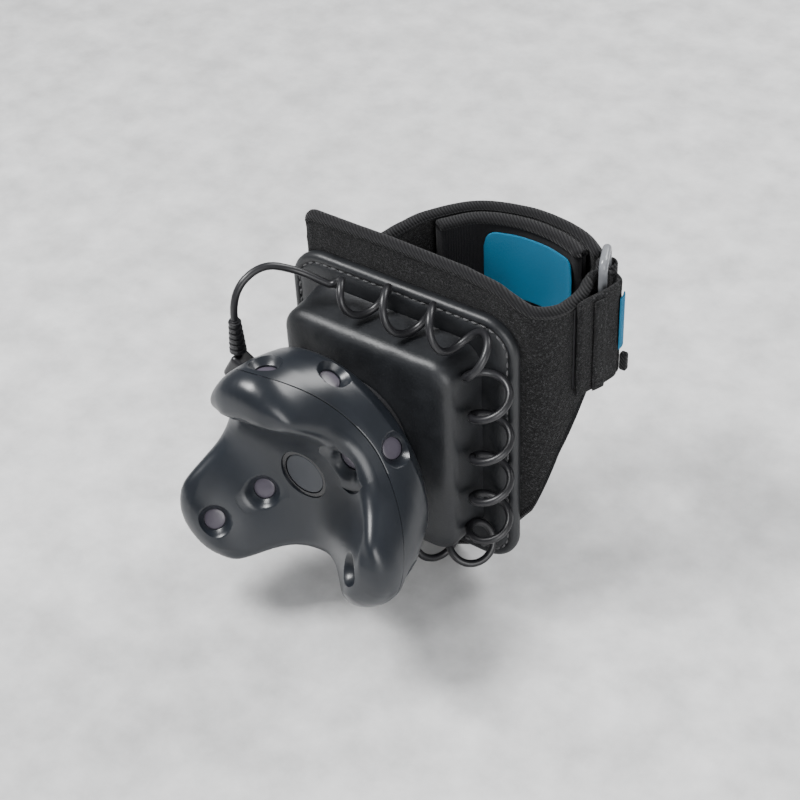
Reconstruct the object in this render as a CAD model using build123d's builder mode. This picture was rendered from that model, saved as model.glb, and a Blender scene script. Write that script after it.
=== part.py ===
from build123d import *
from math import atan2, cos, pi, radians, sin, tan
import os

# A body tracker on a limb strap: a three-lobed sensor puck is screwed to a leather battery pad,
# and the pad is sewn to the front of a hook-and-loop band. Millimetres. The origin is the middle
# of the limb passage, +X is to the right of the pad, +Y runs from the puck towards the limb and
# +Z is up along the limb.

# ---- driving sizes ----
# puck
puck_x, puck_z = -34.0, -36.0        # its axis, which runs along Y
puck_base_y = -64.5                  # its flat base; it grows towards -Y
puck_wall = 2.2
lobe_angle = 98.0                    # the upper lobe's direction, from +X towards +Z
lobes = [lobe_angle, lobe_angle + 120, lobe_angle - 120]
port_angle = 150.0                   # the charge socket's direction
port_depth = 8.0
# outline: depth over the base, radius between lobes, radius at a lobe
outline = [(0, 28.5, 30.0), (4, 33.2, 36.0), (9, 36.0, 40.6), (16, 37.6, 44.6), (26, 37.4, 47.6),
           (36, 36.4, 49.2), (46, 35.4, 49.8)]
# pad and pouch
pad_left, pad_right, pad_bottom, pad_top = -72.0, 18.0, -91.0, 13.5
pad_front, pad_thick, pad_corner = -39.0, 4.2, 13.0
pouch_left, pouch_right, pouch_bottom, pouch_top = -64.0, 5.0, -80.0, 2.5
pouch_front, pouch_wall = -57.0, 1.6
# strap
panel_front, panel_thick = -34.5, 2.5
panel_left, panel_right, panel_bottom, panel_top = -68.0, 13.0, -98.0, 25.0
band_bottom, band_top, band_thick = -20.0, 18.0, 3.0
# cord
cord_diameter, coil_diameter = 2.6, 15.7
# power button
button_radius, button_travel = 7.6, 0.45


def at_depth(depth):
    """The plane across the puck, that far over its base: local x is +X, local y is +Z."""
    return Plane(origin=(puck_x, puck_base_y - depth, puck_z), x_dir=(1, 0, 0), z_dir=(0, -1, 0))


def lobe_wave(angle):
    """1 on a lobe, -1 midway between two."""
    return cos(radians(3 * (angle - lobe_angle)))


def lobe_share(angle):
    """How far the outline reaches from its between radius (0) to its lobe radius (1)."""
    return (1 + lobe_wave(angle)) / 2


def front_depth(x, z):
    """Depth of the puck's dished front over its base, at x, z from its axis."""
    u = (x * x + z * z) ** 0.5 / 45
    return 21.5 + 4.5 * u ** 2 + 11.5 * u ** 3 * lobe_wave(atan2(z, x) * 180 / pi)


def parting_depth(x, z):
    """Depth of the wavy joint between the puck's two shells."""
    u = (x * x + z * z) ** 0.5 / 45
    return 8 + 15.3 * u ** 2 + 8.82 * u ** 3 * lobe_wave(atan2(z, x) * 180 / pi)


def outline_radius(depth, angle):
    """The puck's outer radius at a depth and direction."""
    for (d0, s0, l0), (d1, s1, l1) in zip(outline, outline[1:]):
        if depth <= d1:
            break
    t = (depth - d0) / (d1 - d0)
    between, lobe = s0 + t * (s1 - s0), l0 + t * (l1 - l0)
    return between + (lobe - between) * lobe_share(angle)


def polar(radius, angle):
    return radius * cos(radians(angle)), radius * sin(radians(angle))


def above_surface(depth_of, lift):
    """Everything in front of a depth function's surface moved lift further from the base."""
    half, steps = 62, 24
    rows = []
    for i in range(steps + 1):
        x = -half + 2 * half * i / steps
        row = []
        for j in range(steps + 1):
            z = -half + 2 * half * j / steps
            row.append((puck_x + x, puck_base_y - depth_of(x, z) - lift, puck_z + z))
        rows.append(row)
    face = Face.make_surface_from_array_of_points(rows)
    with BuildPart() as region:
        extrude(to_extrude=face, amount=70, dir=(0, -1, 0))
    return region.part


def puck_body(inset):
    """The puck's outer form, or that form shrunk by inset on all sides."""
    with BuildPart() as body:
        for depth, between, lobe in outline:
            level = depth + inset if depth == 0 else depth
            with BuildSketch(at_depth(level)):
                with BuildLine():
                    reach = lobe - between
                    ring = [polar(between - inset + reach * lobe_share(a), a) for a in range(0, 360, 15)]
                    Spline(*ring, periodic=True)
                make_face()
        loft()
        add(above_surface(front_depth, -inset), mode=Mode.SUBTRACT)
    return body.part


def block(x0, x1, y0, y1, z0, z1, edge=0.0):
    """A closed box with its edges along Y rounded."""
    plane = Plane(origin=((x0 + x1) / 2, y0, (z0 + z1) / 2), x_dir=(1, 0, 0), z_dir=(0, 1, 0))
    with BuildPart() as box:
        with BuildSketch(plane):
            if edge:
                RectangleRounded(x1 - x0, z1 - z0, edge)
            else:
                Rectangle(x1 - x0, z1 - z0)
        extrude(amount=y1 - y0)
    return box.part


def puck_rod(radius, near, far, x=0.0, z=0.0, bore=0.0):
    """A round rod or ring along the puck's axis from depth near to depth far."""
    with BuildPart() as rod:
        with BuildSketch(at_depth(near)):
            with Locations((x, z)):
                Circle(radius)
                if bore:
                    Circle(bore, mode=Mode.SUBTRACT)
        extrude(amount=far - near)
    return rod.part


def band(points, thick, low, high):
    """A strip of webbing that follows a plan line, standing from z low to z high."""
    with BuildPart() as strip:
        with BuildSketch(Plane.XY.offset(low)):
            with BuildLine() as line:
                Spline(*points)
            trace(line_width=thick)
        extrude(amount=high - low)
    return strip.part


def dimple_frame(radius, angle, depth, toward):
    """The plane of a sensor cup, looking out along toward."""
    x, z = polar(radius, angle)
    return Plane(origin=(puck_x + x, puck_base_y - depth, puck_z + z), z_dir=toward)


def side_normal(depth, angle):
    """Outward direction of the puck's side."""
    step = 0.5
    slope = (outline_radius(depth + step, angle) - outline_radius(depth - step, angle)) / (2 * step)
    twist = (outline_radius(depth, angle + step) - outline_radius(depth, angle - step)) / (2 * step)
    around = twist / radians(1) / outline_radius(depth, angle)
    c, s = cos(radians(angle)), sin(radians(angle))
    return Vector(c + around * s, slope, s - around * c).normalized()


def front_normal(x, z):
    """Outward direction of the puck's dished front."""
    step = 0.5
    dx = (front_depth(x + step, z) - front_depth(x - step, z)) / (2 * step)
    dz = (front_depth(x, z + step) - front_depth(x, z - step)) / (2 * step)
    return Vector(-dx, -1, -dz).normalized()


def front_cups():
    """Sensor cups in the front cover: one near each lobe's tip and two on the line through the
    lower left lobe."""
    places = [(36.5, angle - 5) for angle in lobes] + [(19.0, lobes[1]), (29.0, lobes[1] + 180)]
    planes = []
    for radius, angle in places:
        x, z = polar(radius, angle)
        planes.append(dimple_frame(radius, angle, front_depth(x, z), front_normal(x, z)))
    return planes


def rear_cups():
    """Sensor cups in the rear shell: one on each lobe's tip and one on each flank."""
    planes = []
    for lobe in lobes:
        for turn, depth in ((0, 26), (38, 12), (-38, 12)):
            angle = lobe + turn
            radius = outline_radius(depth, angle)
            planes.append(dimple_frame(radius, angle, depth, side_normal(depth, angle)))
    return planes


def cup_parts(plane, shell, outside):
    """Adds a boss for one cup to a shell and cuts the cup and its window seat."""
    with BuildPart() as boss:
        with BuildSketch(plane.offset(-6.0)):
            Circle(7.6)
        extrude(amount=9)
        add(outside, mode=Mode.INTERSECT)
    with BuildPart() as cut:
        with BuildSketch(plane.offset(-3.0)):
            Circle(3.7)
        with BuildSketch(plane.offset(0.6)):
            Circle(6.2)
        loft()
        with BuildSketch(plane.offset(-4.9)):
            Circle(3.7)
        extrude(amount=1.9)
    with BuildPart() as result:
        add(shell)
        add(boss.part)
        add(cut.part, mode=Mode.SUBTRACT)
    return result.part


def discs(planes, radius, low, high):
    """One disc per cup, from low to high under the surface."""
    with BuildPart() as group:
        for plane in planes:
            with BuildSketch(plane.offset(-low)):
                Circle(radius)
            extrude(amount=low - high)
    return group.part


def arc_radii(points):
    """The radii of the arcs that join a route's straight runs, as wide as the runs allow."""
    radii = []
    for a, b, c in zip(points, points[1:], points[2:]):
        into, out = Vector(*b) - Vector(*a), Vector(*c) - Vector(*b)
        half_turn = radians(into.get_angle(out)) / 2
        radii.append(0.45 * min(into.length, out.length) / tan(half_turn))
    return radii


def tube(points, diameter):
    """A round tube along a route."""
    radii = arc_radii(points)
    print("radii", [round(r, 1) for r in radii], "diameter", diameter)
    with BuildPart() as hose:
        with BuildLine() as line:
            FilletPolyline(*points, radius=radii)
        with BuildSketch(Plane(origin=line.line @ 0, z_dir=line.line % 0)):
            Circle(diameter / 2)
        sweep()
    return hose.part


def save(part, name):
    part.label = name
    export_step(part, f"parts/{name}.step")


os.makedirs("parts", exist_ok=True)

# ---- puck shells ----
outside = puck_body(0.0)
inside = puck_body(puck_wall)

with BuildPart() as rear_shell:
    add(outside)
    add(inside, mode=Mode.SUBTRACT)
    add(above_surface(parting_depth, 0.0), mode=Mode.SUBTRACT)

with BuildPart() as front_cover:
    add(outside)
    add(inside, mode=Mode.SUBTRACT)
    add(above_surface(parting_depth, 0.25), mode=Mode.INTERSECT)
    add(puck_rod(9.3, 13, 30), mode=Mode.SUBTRACT)
    light_x, light_z = polar(12.5, lobes[1] + 180)
    add(puck_rod(0.85, 13, 30, light_x, light_z), mode=Mode.SUBTRACT)

rear = rear_shell.part
for plane in rear_cups():
    with BuildPart() as below:
        add(outside)
        add(above_surface(parting_depth, -0.2), mode=Mode.SUBTRACT)
    rear = cup_parts(plane, rear, below.part)

front = front_cover.part
with BuildPart() as over:
    add(outside)
    add(above_surface(parting_depth, 0.25), mode=Mode.INTERSECT)
for plane in front_cups():
    front = cup_parts(plane, front, over.part)

port_out = Vector(cos(radians(port_angle)), 0, sin(radians(port_angle)))
port_plane = Plane(
    origin=(puck_x, puck_base_y - port_depth, puck_z), x_dir=(0, -1, 0), z_dir=port_out)
with BuildPart() as socket_hole:
    with BuildSketch(port_plane.offset(30)):
        Rectangle(3.6, 8.4)
    extrude(amount=12)
with BuildPart() as base_hole:
    add(puck_rod(5.1, -1, 4))
    add(puck_rod(1.6, -1, 4, 0, -14))
    for angle in lobes:
        screw_x, screw_z = polar(23.5, angle)
        add(puck_rod(2.3, -1, 3, screw_x, screw_z))
with BuildPart() as rear_finished:
    add(rear)
    add(socket_hole.part, mode=Mode.SUBTRACT)
    add(base_hole.part, mode=Mode.SUBTRACT)
save(rear_finished.part, "rear_shell")
save(front, "front_cover")

# ---- inside the puck ----
save(discs(front_cups(), 3.6, 4.0, 3.05), "sensor_windows_front")
save(discs(rear_cups(), 3.6, 4.0, 3.05), "sensor_windows_rear")
save(discs(front_cups() + rear_cups(), 3.4, 4.85, 4.05), "sensor_boards")
save(puck_rod(26, 10.0, 11.6), "main_board")
battery_x, battery_z = polar(15, lobes[2])
save(
    block(puck_x + battery_x - 9, puck_x + battery_x + 9, puck_base_y - 16.5, puck_base_y - 11.8,
          puck_z + battery_z - 11, puck_z + battery_z + 7),
    "puck_battery",
)
save(
    block(puck_x - 22, puck_x - 18, puck_base_y - 13.2, puck_base_y - 11.8, puck_z - 9, puck_z + 9),
    "antenna",
)
save(puck_rod(5.0, 0.3, 9.7, bore=3.2), "threaded_insert")
with BuildPart() as shell_screws:
    for angle in lobes:
        screw_x, screw_z = polar(23.5, angle)
        add(puck_rod(2.1, 0.5, 2.1, screw_x, screw_z))
        add(puck_rod(1.1, 2.0, 9.8, screw_x, screw_z))
save(shell_screws.part, "shell_screws")

# ---- power button ----
with BuildPart() as button_bezel:
    add(puck_rod(9.15, 18.1, 21.9, bore=7.8))
save(button_bezel.part, "button_bezel")
with BuildPart() as power_button:
    add(puck_rod(button_radius, 19.9, 21.8))
    add(puck_rod(2.2, 17.1, 19.9))
    fillet(power_button.edges().sort_by(Axis.Y)[0], 0.5)
save(power_button.part, "power_button")
save(block(puck_x - 3, puck_x + 3, puck_base_y - 16.4, puck_base_y - 11.8, puck_z - 3, puck_z + 3),
     "button_switch")
save(puck_rod(0.75, 11.8, front_depth(light_x, light_z) + 0.1, light_x, light_z), "status_light_pipe")

# ---- charge socket and plug ----
with BuildPart() as usb_socket:
    with BuildSketch(port_plane.offset(29.5)):
        Rectangle(3.3, 8.1)
    extrude(amount=6.5)
    with BuildSketch(port_plane.offset(30.5)):
        Rectangle(2.1, 7.0)
    extrude(amount=6.5, mode=Mode.SUBTRACT)
save(usb_socket.part, "usb_socket")
with BuildPart() as plug_tip:
    with BuildSketch(port_plane.offset(31.0)):
        Rectangle(1.8, 6.7)
    extrude(amount=6.6)
save(plug_tip.part, "plug_tip")
plug_radius = 41.2
plug_x, plug_z = polar(plug_radius, port_angle)
plug_y = puck_base_y - port_depth
with BuildPart() as usb_plug:
    with BuildSketch(port_plane.offset(38.0)):
        RectangleRounded(7.4, 10.8, 1.8)
    extrude(amount=6.8)
    fillet(usb_plug.faces().sort_by(Axis.X)[0].edges(), 1.2)
save(usb_plug.part, "usb_plug")
neck_low, neck_high = puck_z + plug_z + 7.2, puck_z + plug_z + 20
neck_plane = Plane(origin=(puck_x + plug_x, plug_y, neck_low), z_dir=(0, 0, 1))
with BuildPart() as strain_relief:
    with BuildSketch(neck_plane):
        Circle(2.9)
    with BuildSketch(neck_plane.offset(neck_high - neck_low)):
        Circle(1.9)
    loft()
save(strain_relief.part, "strain_relief")

# ---- puck fastening ----
with BuildPart() as mount_plate:
    add(puck_rod(21, -7.4, -3.4))
    add(puck_rod(3.4, -8, -2), mode=Mode.SUBTRACT)
    for turn in (45, 135, 225, 315):
        screw_x, screw_z = polar(16, turn)
        add(puck_rod(1.35, -8, -2, screw_x, screw_z), mode=Mode.SUBTRACT)
save(mount_plate.part, "mount_plate")
with BuildPart() as grip_ring:
    add(puck_rod(20, -3.3, -0.2, bore=8.0))
    add(puck_rod(1.6, -4, 0, 0, -14), mode=Mode.SUBTRACT)
    for turn in (45, 135, 225, 315):
        screw_x, screw_z = polar(16, turn)
        add(puck_rod(2.6, -4, 0, screw_x, screw_z), mode=Mode.SUBTRACT)
save(grip_ring.part, "grip_ring")
save(puck_rod(1.45, -3.3, 3.0, 0, -14), "locator_pin")
with BuildPart() as mount_stud:
    add(puck_rod(3.12, -11.2, 7.5))
    add(puck_rod(6.0, -12.4, -11.2))
save(mount_stud.part, "mount_stud")
with BuildPart() as mount_screws:
    for turn in (45, 135, 225, 315):
        screw_x, screw_z = polar(16, turn)
        add(puck_rod(1.25, -10.9, -3.4, screw_x, screw_z))
        add(puck_rod(2.3, -3.4, -1.8, screw_x, screw_z))
save(mount_screws.part, "mount_screws")

# ---- pad ----
pad_back = pad_front + pad_thick
save(block(pad_left, pad_right, pad_front, pad_back, pad_bottom, pad_top, pad_corner), "pad_backing")
with BuildPart() as pouch_cover:
    add(block(pouch_left, pouch_right, pouch_front, pad_front - 0.1, pouch_bottom, pouch_top, 8))
    fillet(pouch_cover.faces().sort_by(Axis.Y)[0].edges(), 5)
    add(block(pouch_left + pouch_wall, pouch_right - pouch_wall, pouch_front + pouch_wall,
              pad_front, pouch_bottom + pouch_wall, pouch_top - pouch_wall, 6.4),
        mode=Mode.SUBTRACT)
    add(puck_rod(3.7, -10.5, -7), mode=Mode.SUBTRACT)
    for turn in (45, 135, 225, 315):
        screw_x, screw_z = polar(16, turn)
        add(puck_rod(1.35, -10.5, -7, screw_x, screw_z), mode=Mode.SUBTRACT)
    grommet_x, grommet_y = -52.5, -47.0
    with BuildSketch(Plane(origin=(grommet_x, grommet_y, pouch_bottom - 1), z_dir=(0, 0, 1))):
        Circle(2.6)
    extrude(amount=4, mode=Mode.SUBTRACT)
save(pouch_cover.part, "pouch_cover")
with BuildPart() as stiffener_plate:
    add(block(puck_x - 24, puck_x + 24, -55.2, -53.4, puck_z - 24, puck_z + 24, 3))
    add(puck_rod(3.4, -12, -9), mode=Mode.SUBTRACT)
    for turn in (45, 135, 225, 315):
        screw_x, screw_z = polar(16, turn)
        add(puck_rod(1.3, -12, -9, screw_x, screw_z), mode=Mode.SUBTRACT)
save(stiffener_plate.part, "stiffener_plate")
save(block(pouch_left + 8, pouch_right - 8, -51.9, -51.1, pouch_bottom + 12, pouch_top - 8, 4),
     "foam_sheet")
save(block(-58, -1, -50.8, -42.4, -70, -16, 3), "battery_cell")
save(block(-58, -1, -50.8, -49.2, -13, -1.5, 1), "charge_board")
save(block(-54, -44, -49.1, -44.4, -12, -4), "board_connector")
with BuildPart() as cord_grommet:
    ring_plane = Plane(origin=(grommet_x, grommet_y, pouch_bottom - 2.0), z_dir=(0, 0, 1))
    with BuildSketch(ring_plane):
        Circle(4.0)
    extrude(amount=1.8)
    with BuildSketch(ring_plane):
        Circle(2.5)
    extrude(amount=4.5)
    with BuildSketch(ring_plane):
        Circle(1.6)
    extrude(amount=4.5, mode=Mode.SUBTRACT)
save(cord_grommet.part, "cord_grommet")

# ---- cord ----
lead_route = [
    (puck_x + plug_x, plug_y, neck_high + 0.1),
    (puck_x + plug_x, plug_y, 15.2),
    (-66.0, -61.0, 21.5),
    (-60.0, -51.0, 15.5),
    (-50.6, -47.2, 10.9),
]
coil_route = [
    (-50.0, -47.0, 10.8),
    (-21.0, -47.3, 10.6),
    (13.5, -47.0, 10.9),
    (13.8, -47.3, -36.0),
    (13.4, -47.0, -88.3),
    (-25.0, -47.2, -88.2),
]
return_route = [
    (-25.4, -47.2, -88.3),
    (-33.0, -47.0, -92.5),
    (-41.0, -47.2, -95.6),
    (-48.0, -47.0, -94.6),
    (-52.2, -47.1, -89.4),
    (grommet_x, grommet_y, pouch_bottom - 2.1),
]
save(tube(lead_route, cord_diameter), "cord_lead")
save(tube(coil_route, coil_diameter), "cord_coil")
save(tube(return_route, cord_diameter), "cord_return")

# ---- strap ----
panel_back = panel_front + panel_thick
save(block(panel_left, panel_right, panel_front, panel_back, panel_bottom, panel_top, 6),
     "front_panel")
side_line = [(13.4, -33.2), (21.0, -31.8), (25.6, -27.0), (27.4, -20.0), (27.6, -14.5), (27.0, -10.5),
             (25.6, -7.7)]
with BuildPart() as side_wing:
    add(band(side_line, panel_thick, -76.0, 19.0))
    with BuildSketch(Plane(origin=(0, 0, 0), x_dir=(0, 1, 0), z_dir=(1, 0, 0))):
        with BuildLine():
            Polyline((-40, -110), (-36, -86), (-32.5, -74), (-28, -42), (-12, -28), (2, -20), (2, -110),
                     close=True)
        make_face()
    extrude(amount=60, mode=Mode.SUBTRACT)
save(side_wing.part, "side_wing")
left_line = [(-45.0, -31.6), (-44.4, -24.0), (-42.4, -14.0), (-39.2, -4.5)]
save(band(left_line, band_thick, band_bottom, band_top), "left_band")
rear_line = [(-38.7, -3.6), (-28.0, 9.6), (-12.0, 15.4), (2.0, 15.4), (13.5, 12.2), (22.2, 6.3)]
save(band(rear_line, band_thick, band_bottom, band_top), "rear_band")
liner_line = [(-34.6, -5.6), (-25.0, 6.0), (-11.5, 10.9), (1.5, 10.9), (11.4, 8.1), (16.4, 5.2)]
save(band(liner_line, 5.0, band_bottom + 2.5, band_top - 2.5), "inner_liner")
patch_line = [(-22.0, 4.4), (-10.6, 7.8), (0.9, 7.8), (9.8, 5.3), (13.6, 3.2)]
save(band(patch_line, 0.8, -14.0, 12.0), "grip_patch")
with BuildPart() as liner_binding:
    add(band(liner_line, 5.8, band_top - 2.4, band_top - 0.2))
    add(band(liner_line, 5.8, band_bottom + 0.2, band_bottom + 2.4))
save(liner_binding.part, "liner_binding")
save(block(panel_left + 2, panel_right - 2, panel_front - 0.5, panel_back + 0.5, panel_top + 0.1,
           panel_top + 2.4, 0.9), "panel_binding")

# ---- buckle and tail ----
# the strap runs along strap_run at the buckle, and strap_out points away from the limb
strap_run, strap_out = Vector(-0.39, 0.921, 0), Vector(0.921, 0.39, 0)
front_bar = Vector(30.2, -5.5, 0)
rear_bar = front_bar + strap_run * 11
buckle_plane = Plane(origin=(front_bar + rear_bar) * 0.5, x_dir=strap_run, z_dir=strap_out)
with BuildPart() as buckle_frame:
    with BuildSketch(buckle_plane):
        RectangleRounded(14, 50, 2.5)
        RectangleRounded(8, 44, 0.8, mode=Mode.SUBTRACT)
    extrude(amount=1.5, both=True)
save(buckle_frame.part, "buckle_frame")


def wrap(centre, inner, outer, low, high, start, sweep_angle):
    """Webbing wrapped round an upright bar: part of a ring."""
    with BuildPart() as ring:
        with BuildSketch(Plane(origin=(centre.X, centre.Y, low))):
            with BuildLine():
                CenterArc((0, 0), (inner + outer) / 2, start, sweep_angle)
            trace(line_width=outer - inner)
        extrude(amount=high - low)
    return ring.part


save(wrap(rear_bar, 2.4, 3.6, -18.0, 17.0, 130, 345), "buckle_loop")
out_angle = 22.9
save(wrap(front_bar, 3.8, 6.3, band_bottom, band_top, out_angle - 8, 188), "wing_fold")
save(band([(35.25, -5.0), (35.05, -6.0), (34.8, -7.1)], panel_thick, band_bottom, band_top), "tail_root")
tail_line = [(33.9, -11.0), (32.6, -14.5), (31.5, -18.0), (30.9, -22.0)]
save(band(tail_line, panel_thick, band_bottom, band_top), "strap_tail")
hook_line = [(29.2, -21.4), (29.45, -18.4), (29.9, -15.6)]
save(band(hook_line, 0.5, -17.0, 15.0), "hook_patch")
save(band([(34.1, -17.1), (34.9, -14.7), (35.8, -12.5)], 1.6, -19.0, 17.0), "tail_end_layer")
save(band([(37.1, -5.9), (37.0, -3.6), (36.2, -1.5)], 0.7, -8.0, 13.0), "blank_tag")
save(block(36.6, 39.2, -3.9, -1.5, -18.0, -11.0, 0.8), "pull_tab")
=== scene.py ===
"""Looks for a body tracker on a limb strap. Sizes are millimetres unless a name ends in _m."""
import math

import bmesh
import bpy
import numpy as np
from mathutils import Matrix, Vector, noise


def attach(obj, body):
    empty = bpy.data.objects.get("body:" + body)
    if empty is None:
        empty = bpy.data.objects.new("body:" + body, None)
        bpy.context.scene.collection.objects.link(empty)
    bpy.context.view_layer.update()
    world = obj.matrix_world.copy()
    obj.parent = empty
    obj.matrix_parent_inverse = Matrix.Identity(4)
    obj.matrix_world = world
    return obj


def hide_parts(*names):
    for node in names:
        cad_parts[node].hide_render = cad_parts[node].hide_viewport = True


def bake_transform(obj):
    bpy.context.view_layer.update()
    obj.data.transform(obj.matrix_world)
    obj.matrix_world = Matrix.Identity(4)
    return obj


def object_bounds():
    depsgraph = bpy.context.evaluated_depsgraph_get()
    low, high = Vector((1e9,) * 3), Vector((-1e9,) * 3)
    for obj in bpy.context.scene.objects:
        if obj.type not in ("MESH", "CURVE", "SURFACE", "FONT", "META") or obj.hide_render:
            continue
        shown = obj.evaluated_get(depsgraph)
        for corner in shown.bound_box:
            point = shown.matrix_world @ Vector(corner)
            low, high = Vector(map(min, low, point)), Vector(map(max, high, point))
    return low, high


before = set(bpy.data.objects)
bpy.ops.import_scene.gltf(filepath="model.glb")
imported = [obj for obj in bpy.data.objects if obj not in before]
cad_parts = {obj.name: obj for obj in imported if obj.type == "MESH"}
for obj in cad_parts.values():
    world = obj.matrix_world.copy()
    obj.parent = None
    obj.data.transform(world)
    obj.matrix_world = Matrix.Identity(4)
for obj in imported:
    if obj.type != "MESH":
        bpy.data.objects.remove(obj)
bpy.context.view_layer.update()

MM = 0.001

# ---- sizes shared with the solids ----
PUCK = np.array([-34.0, -64.5, -36.0])      # the puck's axis at its base
LOBE_ANGLE = 98.0
LOBES = [LOBE_ANGLE, LOBE_ANGLE + 120, LOBE_ANGLE - 120]
PORT_ANGLE, PORT_DEPTH = 150.0, 8.0
OUTLINE = np.array([(0, 28.5, 30.0), (4, 33.8, 37.0), (9, 36.0, 42.0), (16, 34.5, 45.0),
                    (24, 31.5, 48.0), (34, 30.0, 49.8), (47, 29.5, 49.8)])
LOBE_NARROWNESS, HORN_TOP = 1.3, 43.5
PAD = dict(left=-72.0, right=18.0, bottom=-91.0, top=13.5, front=-39.0, back=-34.8, corner=13.0)
POUCH = dict(left=-64.0, right=5.0, bottom=-80.0, top=2.5, front=-57.0)
BAND_LOW, BAND_HIGH = -20.0, 18.0


# ---- small helpers ----
def link(name, mesh, body, *replaced, slot=None, material=None):
    """A piece made of a mesh, riding on a body and standing for CAD nodes."""
    piece = bpy.data.objects.new(name, mesh)
    bpy.context.scene.collection.objects.link(piece)
    if material:
        mesh.materials.append(material)
    if replaced:
        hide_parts(*replaced)
    if body:
        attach(piece, body)
    return piece


def mesh_from(name, verts, faces, sharp_deg=40):
    """A smooth mesh from points in millimetres."""
    mesh = bpy.data.meshes.new(name)
    mesh.from_pydata([tuple(v) for v in np.asarray(verts, float) * MM], [], faces)
    mesh.validate()
    mesh.shade_smooth()
    mesh.set_sharp_from_angle(angle=math.radians(sharp_deg))
    return mesh


def fix_normals(mesh):
    work = bmesh.new()
    work.from_mesh(mesh)
    bmesh.ops.recalc_face_normals(work, faces=work.faces)
    work.to_mesh(mesh)
    work.free()


def grid_faces(rows, columns, wrap_columns=True, wrap_rows=False):
    """Quads over a grid of rows by columns points."""
    faces = []
    for i in range(rows if wrap_rows else rows - 1):
        for j in range(columns if wrap_columns else columns - 1):
            a, b = i * columns + j, i * columns + (j + 1) % columns
            c, d = ((i + 1) % rows) * columns + (j + 1) % columns, ((i + 1) % rows) * columns + j
            faces.append((a, b, c, d))
    return faces


def smooth_path(points, step=1.2):
    """A Catmull-Rom line through points, evenly spaced."""
    pts = np.asarray(points, float)
    ends = np.vstack([2 * pts[0] - pts[1], pts, 2 * pts[-1] - pts[-2]])
    out = []
    for i in range(len(pts) - 1):
        p0, p1, p2, p3 = ends[i:i + 4]
        t = np.linspace(0, 1, 40, endpoint=False)[:, None]
        out.append(0.5 * (2 * p1 + (p2 - p0) * t + (2 * p0 - 5 * p1 + 4 * p2 - p3) * t ** 2
                          + (3 * p1 - p0 - 3 * p2 + p3) * t ** 3))
    line = np.vstack(out + [pts[-1:]])
    run = np.concatenate([[0], np.cumsum(np.linalg.norm(np.diff(line, axis=0), axis=1))])
    count = max(4, int(run[-1] / step) + 1)
    even = np.linspace(0, run[-1], count)
    return np.column_stack([np.interp(even, run, line[:, k]) for k in range(line.shape[1])])


def fuzz(point, size, seed=0.0):
    """Smooth noise from -1 to 1 at a point in millimetres."""
    return noise.noise(Vector((point[0] / size + seed, point[1] / size, point[2] / size)))


# ---- materials ----
def material(name, colour, roughness, metallic=0.0, specular=0.5, sheen=0.0, coat=0.0,
             transmission=0.0):
    """A node material with its constants on the shader's own sockets."""
    made = bpy.data.materials.new(name)
    made.use_nodes = True
    shader = made.node_tree.nodes["Principled BSDF"]
    shader.inputs["Base Color"].default_value = (*colour, 1)
    shader.inputs["Roughness"].default_value = roughness
    shader.inputs["Metallic"].default_value = metallic
    shader.inputs["Specular IOR Level"].default_value = specular
    shader.inputs["Sheen Weight"].default_value = sheen
    shader.inputs["Sheen Roughness"].default_value = 0.5
    shader.inputs["Coat Weight"].default_value = coat
    shader.inputs["Coat Roughness"].default_value = 0.2
    shader.inputs["Transmission Weight"].default_value = transmission
    return made


def add_node(made, kind, **settings):
    node = made.node_tree.nodes.new(kind)
    for key, value in settings.items():
        if key in node.inputs:
            node.inputs[key].default_value = value
        else:
            setattr(node, key, value)
    return node


def joined(made, source, target):
    made.node_tree.links.new(source, target)


def coordinates(made, stretch=(1, 1, 1)):
    """Object coordinates in millimetres, times stretch."""
    place = add_node(made, "ShaderNodeTexCoord")
    scaled = add_node(made, "ShaderNodeMapping")
    scaled.inputs["Scale"].default_value = [1000 * s for s in stretch]
    joined(made, place.outputs["Object"], scaled.inputs["Vector"])
    return scaled.outputs["Vector"]


def ramp(made, source, low, high, first, second):
    """A colour ramp between two positions."""
    node = add_node(made, "ShaderNodeValToRGB")
    node.color_ramp.elements[0].position = low
    node.color_ramp.elements[0].color = (*first, 1)
    node.color_ramp.elements[1].position = high
    node.color_ramp.elements[1].color = (*second, 1)
    joined(made, source, node.inputs["Fac"])
    return node.outputs["Color"]


def remap(made, source, low, high):
    node = add_node(made, "ShaderNodeMapRange")
    node.inputs["To Min"].default_value = low
    node.inputs["To Max"].default_value = high
    joined(made, source, node.inputs["Value"])
    return node.outputs["Result"]


def bump(made, source, strength, distance_mm, under=None):
    node = add_node(made, "ShaderNodeBump")
    node.inputs["Strength"].default_value = strength
    node.inputs["Distance"].default_value = distance_mm * MM
    joined(made, source, node.inputs["Height"])
    if under is not None:
        joined(made, under, node.inputs["Normal"])
    return node.outputs["Normal"]


def noise_node(made, vector, scale, detail=3.0, roughness=0.5):
    node = add_node(made, "ShaderNodeTexNoise")
    node.inputs["Scale"].default_value = scale
    node.inputs["Detail"].default_value = detail
    node.inputs["Roughness"].default_value = roughness
    joined(made, vector, node.inputs["Vector"])
    return node.outputs["Fac"]


def shader_of(made):
    return made.node_tree.nodes["Principled BSDF"]


def plastic(name, colour, roughness, grain=0.35, **more):
    """Moulded plastic: a fine spark-eroded texture and faint handling marks."""
    made = material(name, colour, roughness, **more)
    at = coordinates(made)
    marks = noise_node(made, at, 0.05, 5.0, 0.6)
    tone = ramp(made, marks, 0.3, 0.75, [c * 0.85 for c in colour], [c * 1.25 for c in colour])
    joined(made, tone, shader_of(made).inputs["Base Color"])
    joined(made, remap(made, marks, roughness - 0.07, roughness + 0.09),
           shader_of(made).inputs["Roughness"])
    fine = noise_node(made, at, 3.2, 2.0)
    joined(made, bump(made, fine, grain, 0.03), shader_of(made).inputs["Normal"])
    return made


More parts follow.
